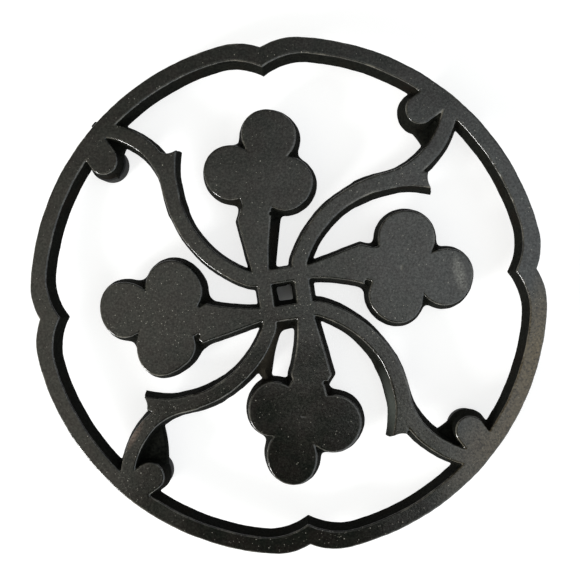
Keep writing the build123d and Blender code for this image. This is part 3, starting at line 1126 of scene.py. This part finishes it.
# %% Worn edges and gloss
edge_distance = add_node(
    tree, "ShaderNodeAttribute", attribute_name="from_edge", attribute_type="GEOMETRY"
).outputs["Fac"]
edge_band = add_node(
    tree,
    "ShaderNodeMapRange",
    {"Value": edge_distance, "From Min": -0.7, "From Max": -0.15},
    interpolation_type="SMOOTHSTEP",
).outputs["Result"]
wear_noise = add_node(
    tree, "ShaderNodeTexNoise", {"Vector": place, "Scale": per_metre(9.0), "Detail": 6.0, "Roughness": 0.75}
).outputs["Fac"]
wear_spots = add_node(
    tree, "ShaderNodeMapRange", {"Value": wear_noise, "From Min": 0.5, "From Max": 0.7, "To Max": 0.7}
).outputs["Result"]
wear = add_node(tree, "ShaderNodeMath", {0: edge_band, 1: wear_spots}, operation="MULTIPLY").outputs[0]
worn = add_node(
    tree, "ShaderNodeMix", {0: wear, 6: rubbed_and_highlit, 7: linear("#6f6c63")}, data_type="RGBA"
).outputs[2]
gloss = add_node(
    tree,
    "ShaderNodeMapRange",
    {"Value": cloud, "From Min": 0.35, "From Max": 0.65, "To Min": 0.11, "To Max": 0.16},
).outputs["Result"]
ripple = add_node(
    tree, "ShaderNodeBump", {"Height": cloud, "Strength": 0.5, "Distance": 0.0001}
).outputs["Normal"]
pebble = add_node(
    tree, "ShaderNodeBump", {"Height": grain, "Strength": 0.6, "Distance": 0.00004, "Normal": ripple}
).outputs["Normal"]
sheen = add_node(
    tree,
    "ShaderNodeMapRange",
    {"Value": grain, "From Min": 0.3, "From Max": 0.7, "To Min": 0.3, "To Max": 0.7},
).outputs["Result"]
shader = add_node(
    tree,
    "ShaderNodeBsdfPrincipled",
    {"Base Color": worn, "Roughness": gloss, "Normal": pebble, "IOR": 1.65, "Specular IOR Level": sheen},
)
tree.links.new(shader.outputs[0], output.inputs["Surface"])
casting.data.materials.append(paint)
print(paint.name, "with", len(tree.nodes), "nodes")

# %% [markdown]
# ## Rough sand skin on the walls
#
# The walls and the underside kept the mould's skin: dull, with a grit of about a millimetre, and so
# rough that the paint on it has no sheen. It reads almost black, with some brown where damp has
# reached the iron. Two walls carry painted light: a brownish one beside the slot at the hub and a grey
# one under a thorn are painted paler, as lit walls. The grit is a bump, because it is finer than the mesh.

# %% Sand skin
skin, tree, output, place = new_material("painted_sand_skin")
grit = add_node(
    tree, "ShaderNodeTexNoise", {"Vector": place, "Scale": per_metre(1.2), "Detail": 5.0, "Roughness": 0.7}
).outputs["Fac"]
grit_tone = add_node(
    tree, "ShaderNodeMapRange", {"Value": grit, "From Min": 0.35, "From Max": 0.68}
).outputs["Result"]
skin_colour = add_node(
    tree, "ShaderNodeMix", {0: grit_tone, 6: linear("#050605"), 7: linear("#181915")}, data_type="RGBA"
).outputs[2]
damp = add_node(
    tree, "ShaderNodeTexNoise", {"Vector": place, "Scale": per_metre(15.0), "Detail": 5.0, "Roughness": 0.65}
).outputs["Fac"]
rust = add_node(
    tree, "ShaderNodeMapRange", {"Value": damp, "From Min": 0.52, "From Max": 0.72, "To Max": 0.7}
).outputs["Result"]
skin_colour = add_node(
    tree, "ShaderNodeMix", {0: rust, 6: skin_colour, 7: linear("#16100b")}, data_type="RGBA"
).outputs[2]
# painted light: two walls painted paler where light falls on them
PAINTED_LIT_WALL_PLACES = [
    ((-9.0, -22.0, 15, 6, 65), "#474137", 0.6),
    ((34.2, -49.4, 17, 5, 92), "#565b57", 0.6),
]
for middle_and_size, colour, strength in PAINTED_LIT_WALL_PLACES:
    mask = soft_place(tree, place, *middle_and_size)
    mask = add_node(tree, "ShaderNodeMath", {0: mask, 1: strength}, operation="MULTIPLY").outputs[0]
    skin_colour = add_node(
        tree, "ShaderNodeMix", {0: mask, 6: skin_colour, 7: linear(colour)}, data_type="RGBA"
    ).outputs[2]
bump = add_node(
    tree, "ShaderNodeBump", {"Height": grit, "Strength": 0.9, "Distance": 0.0003}
).outputs["Normal"]
shader = add_node(
    tree,
    "ShaderNodeBsdfPrincipled",
    {"Base Color": skin_colour, "Roughness": 0.9, "Normal": bump, "IOR": 1.5, "Specular IOR Level": 0.05},
)
tree.links.new(shader.outputs[0], output.inputs["Surface"])
casting.data.materials.append(skin)
print(skin.name, "with", len(tree.nodes), "nodes")

# %% [markdown]
# ## Moulded rubber
#
# The feet are plain black rubber from a steel mould: matte, with a faint grey bloom on the surface in
# patches of a few millimetres.

# %% Rubber
rubber, tree, output, place = new_material("moulded_black_rubber")
bloom = add_node(
    tree, "ShaderNodeTexNoise", {"Vector": place, "Scale": per_metre(3.0), "Detail": 4.0, "Roughness": 0.6}
).outputs["Fac"]
rubber_colour = add_node(
    tree, "ShaderNodeMix", {0: bloom, 6: linear("#141414"), 7: linear("#242424")}, data_type="RGBA"
).outputs[2]
bump = add_node(
    tree, "ShaderNodeBump", {"Height": bloom, "Strength": 0.2, "Distance": 0.0001}
).outputs["Normal"]
shader = add_node(
    tree,
    "ShaderNodeBsdfPrincipled",
    {"Base Color": rubber_colour, "Roughness": 0.75, "Normal": bump, "IOR": 1.5, "Specular IOR Level": 0.2},
)
tree.links.new(shader.outputs[0], output.inputs["Surface"])
for foot in feet:
    foot.data.materials.append(rubber)
print(rubber.name, "on", len(feet), "feet")

# %% [markdown]
# ## Floor
#
# A white paper sheet under the trivet. More light would make it white but would also bleach the iron,
# so the sheet is grey paper with a glow that only the camera and mirrored and passing rays see. It
# still takes the shadow. In the small hole at the hub the glow ends, so the full shade shows there.

# %% Floor
FLOOR_HALF = 12.0
FLOOR_DROP = 0.00002
FLOOR_GLOW = 0.76
SHADE_RADIUS = 0.006
GLOW_RADIUS = 0.009
floor_mesh = bpy.data.meshes.new("floor")
floor_corners = [(-FLOOR_HALF, -FLOOR_HALF, 0), (FLOOR_HALF, -FLOOR_HALF, 0)]
floor_corners += [(FLOOR_HALF, FLOOR_HALF, 0), (-FLOOR_HALF, FLOOR_HALF, 0)]
floor_mesh.from_pydata(floor_corners, [], [(0, 1, 2, 3)])
floor = bpy.data.objects.new("floor", floor_mesh)
floor.location.z = -FLOOR_DROP
bpy.context.scene.collection.objects.link(floor)
paper, tree, output, place = new_material("white_paper_sheet")
rays = add_node(tree, "ShaderNodeLightPath").outputs
seen = rays["Is Camera Ray"]
for kind in ("Is Glossy Ray", "Is Transmission Ray"):
    seen = add_node(tree, "ShaderNodeMath", {0: seen, 1: rays[kind]}, operation="MAXIMUM").outputs[0]
from_middle = add_node(tree, "ShaderNodeVectorMath", {0: place}, operation="LENGTH").outputs["Value"]
lift = add_node(
    tree,
    "ShaderNodeMapRange",
    {"Value": from_middle, "From Min": SHADE_RADIUS, "From Max": GLOW_RADIUS, "To Max": FLOOR_GLOW},
).outputs["Result"]
lift = add_node(tree, "ShaderNodeMath", {0: seen, 1: lift}, operation="MULTIPLY").outputs[0]
matte = add_node(tree, "ShaderNodeBsdfDiffuse", {"Color": linear("#acacac")})
glow = add_node(tree, "ShaderNodeEmission", {"Color": linear("#ffffff"), "Strength": lift})
both = add_node(tree, "ShaderNodeAddShader", {0: matte.outputs[0], 1: glow.outputs[0]})
tree.links.new(both.outputs[0], output.inputs["Surface"])
floor_mesh.materials.append(paper)
print("floor", 2 * FLOOR_HALF, "m wide")

# %% [markdown]
# ## The room overhead
#
# A sheet of iron under satin paint is judged by what it mirrors, so one even sky would leave it flat.
# Here each direction has its own strength. Overhead the room is pale, brighter to the right, fading
# toward the far side, with one soft dark place on the near side, which the lowest trefoil mirrors.
# Lower down it is brightest on the near side, so walls that face that way are lit and the others stay
# dark. Where the floor ends, the camera sees plain white.

# %% Overhead light
DARK_MIDDLE = (-0.085, -0.36, 0.0)
DARK_SIZE = (0.195, 0.32, 100.0)
NEAR_SIDE = (-0.35, -0.94, 0.0)
world = bpy.data.worlds.new("pale_studio")
bpy.context.scene.world = world
world.use_nodes = True
tree = world.node_tree
tree.nodes.clear()
way = add_node(tree, "ShaderNodeTexCoord").outputs["Generated"]
part = add_node(tree, "ShaderNodeSeparateXYZ", {0: way}).outputs
right_rise = add_node(
    tree,
    "ShaderNodeMapRange",
    {"Value": part["X"], "From Min": -0.05, "From Max": 0.15, "To Min": 0.75, "To Max": 1.28},
    interpolation_type="SMOOTHSTEP",
).outputs["Result"]
far_fade = add_node(
    tree,
    "ShaderNodeMapRange",
    {"Value": part["Y"], "From Min": 0.1, "From Max": 0.3, "To Min": 1.0, "To Max": 0.3},
).outputs["Result"]
from_dark = add_node(tree, "ShaderNodeVectorMath", {0: way, 1: DARK_MIDDLE}, operation="SUBTRACT")
from_dark = add_node(
    tree, "ShaderNodeVectorMath", {0: from_dark.outputs[0], 1: DARK_SIZE}, operation="DIVIDE"
).outputs[0]
dark_reach = add_node(tree, "ShaderNodeVectorMath", {0: from_dark}, operation="LENGTH").outputs["Value"]
beside_dark = add_node(
    tree,
    "ShaderNodeMapRange",
    {"Value": dark_reach, "From Min": 0.85, "From Max": 1.12, "To Min": 0.03, "To Max": 1.0},
    interpolation_type="SMOOTHSTEP",
).outputs["Result"]
overhead = right_rise
for factor in (far_fade, beside_dark):
    overhead = add_node(tree, "ShaderNodeMath", {0: overhead, 1: factor}, operation="MULTIPLY").outputs[0]
print("light overhead from", len(tree.nodes), "nodes")

# %% [markdown]
# ## Low light and backdrop
#
# The low part of the room is a plain slope of strength from the far side to the near side. A soft step
# at about thirty degrees up joins it to the overhead part, and the colour goes from warm to cool.

# %% Low light and backdrop
near_side = add_node(
    tree, "ShaderNodeVectorMath", {0: way, 1: NEAR_SIDE}, operation="DOT_PRODUCT"
).outputs["Value"]
lower = add_node(
    tree,
    "ShaderNodeMapRange",
    {"Value": near_side, "From Min": -0.5, "From Max": 0.8, "To Min": 0.1, "To Max": 2.2},
).outputs["Result"]
is_overhead = add_node(
    tree,
    "ShaderNodeMapRange",
    {"Value": part["Z"], "From Min": 0.35, "From Max": 0.6},
    interpolation_type="SMOOTHSTEP",
).outputs["Result"]
strength = add_node(
    tree, "ShaderNodeMix", {0: is_overhead, 2: lower, 3: overhead}, data_type="FLOAT"
).outputs[0]
coolness = add_node(
    tree, "ShaderNodeMapRange", {"Value": part["X"], "From Min": -0.35, "From Max": 0.35}
).outputs["Result"]
sky_colour = add_node(
    tree, "ShaderNodeMix", {0: coolness, 6: linear("#fffaea"), 7: linear("#f2faff")}, data_type="RGBA"
).outputs[2]
sky = add_node(tree, "ShaderNodeBackground", {"Color": sky_colour, "Strength": strength})
backdrop = add_node(tree, "ShaderNodeBackground", {"Color": linear("#ffffff"), "Strength": 1.0})
seen = add_node(tree, "ShaderNodeLightPath").outputs["Is Camera Ray"]
both = add_node(tree, "ShaderNodeMixShader", {0: seen, 1: sky.outputs[0], 2: backdrop.outputs[0]})
add_node(tree, "ShaderNodeOutputWorld", {"Surface": both.outputs[0]})
print("world with", len(tree.nodes), "nodes")

# %% [markdown]
# ## Lamp
#
# The soft room gives no sparkle. One low lamp, at the near left like a window, draws the thin lights
# along the rounded edges. It is weak and large, so it hardly adds to the light on the face.

# %% Lamp
LAMP_PLACE = (-0.95, -0.55, 0.5)
lamp_data = bpy.data.lights.new("low_window", "AREA")
lamp_data.shape = "DISK"
lamp_data.size = 0.35
lamp_data.energy = 14.0
lamp = bpy.data.objects.new("low_window", lamp_data)
lamp.location = LAMP_PLACE
lamp.rotation_euler = (-lamp.location).to_track_quat("-Z", "Y").to_euler()
bpy.context.scene.collection.objects.link(lamp)
print("lamp", lamp_data.energy, "W")

# %% [markdown]
# ## Camera
#
# Almost straight above, a little to the right and turned a few degrees, at about three hand widths.
# So near, the walls inside the openings show on the sides away from the middle of the picture.

# %% Camera
CAMERA_PLACE = (0.01492, -0.00482, 0.300 + PLATE_TOP * MM)
CAMERA_TURN = (0.767, 2.539, -8.516)
camera_data = bpy.data.cameras.new("camera")
camera_data.lens = 48.29
camera_data.sensor_width = 36.0
camera_data.clip_start = 0.01
camera = bpy.data.objects.new("camera", camera_data)
camera.location = CAMERA_PLACE
camera.rotation_euler = np.radians(CAMERA_TURN)
bpy.context.scene.collection.objects.link(camera)
bpy.context.scene.camera = camera
bpy.context.scene.view_settings.view_transform = "Standard"
print("camera", [round(v, 3) for v in CAMERA_PLACE])
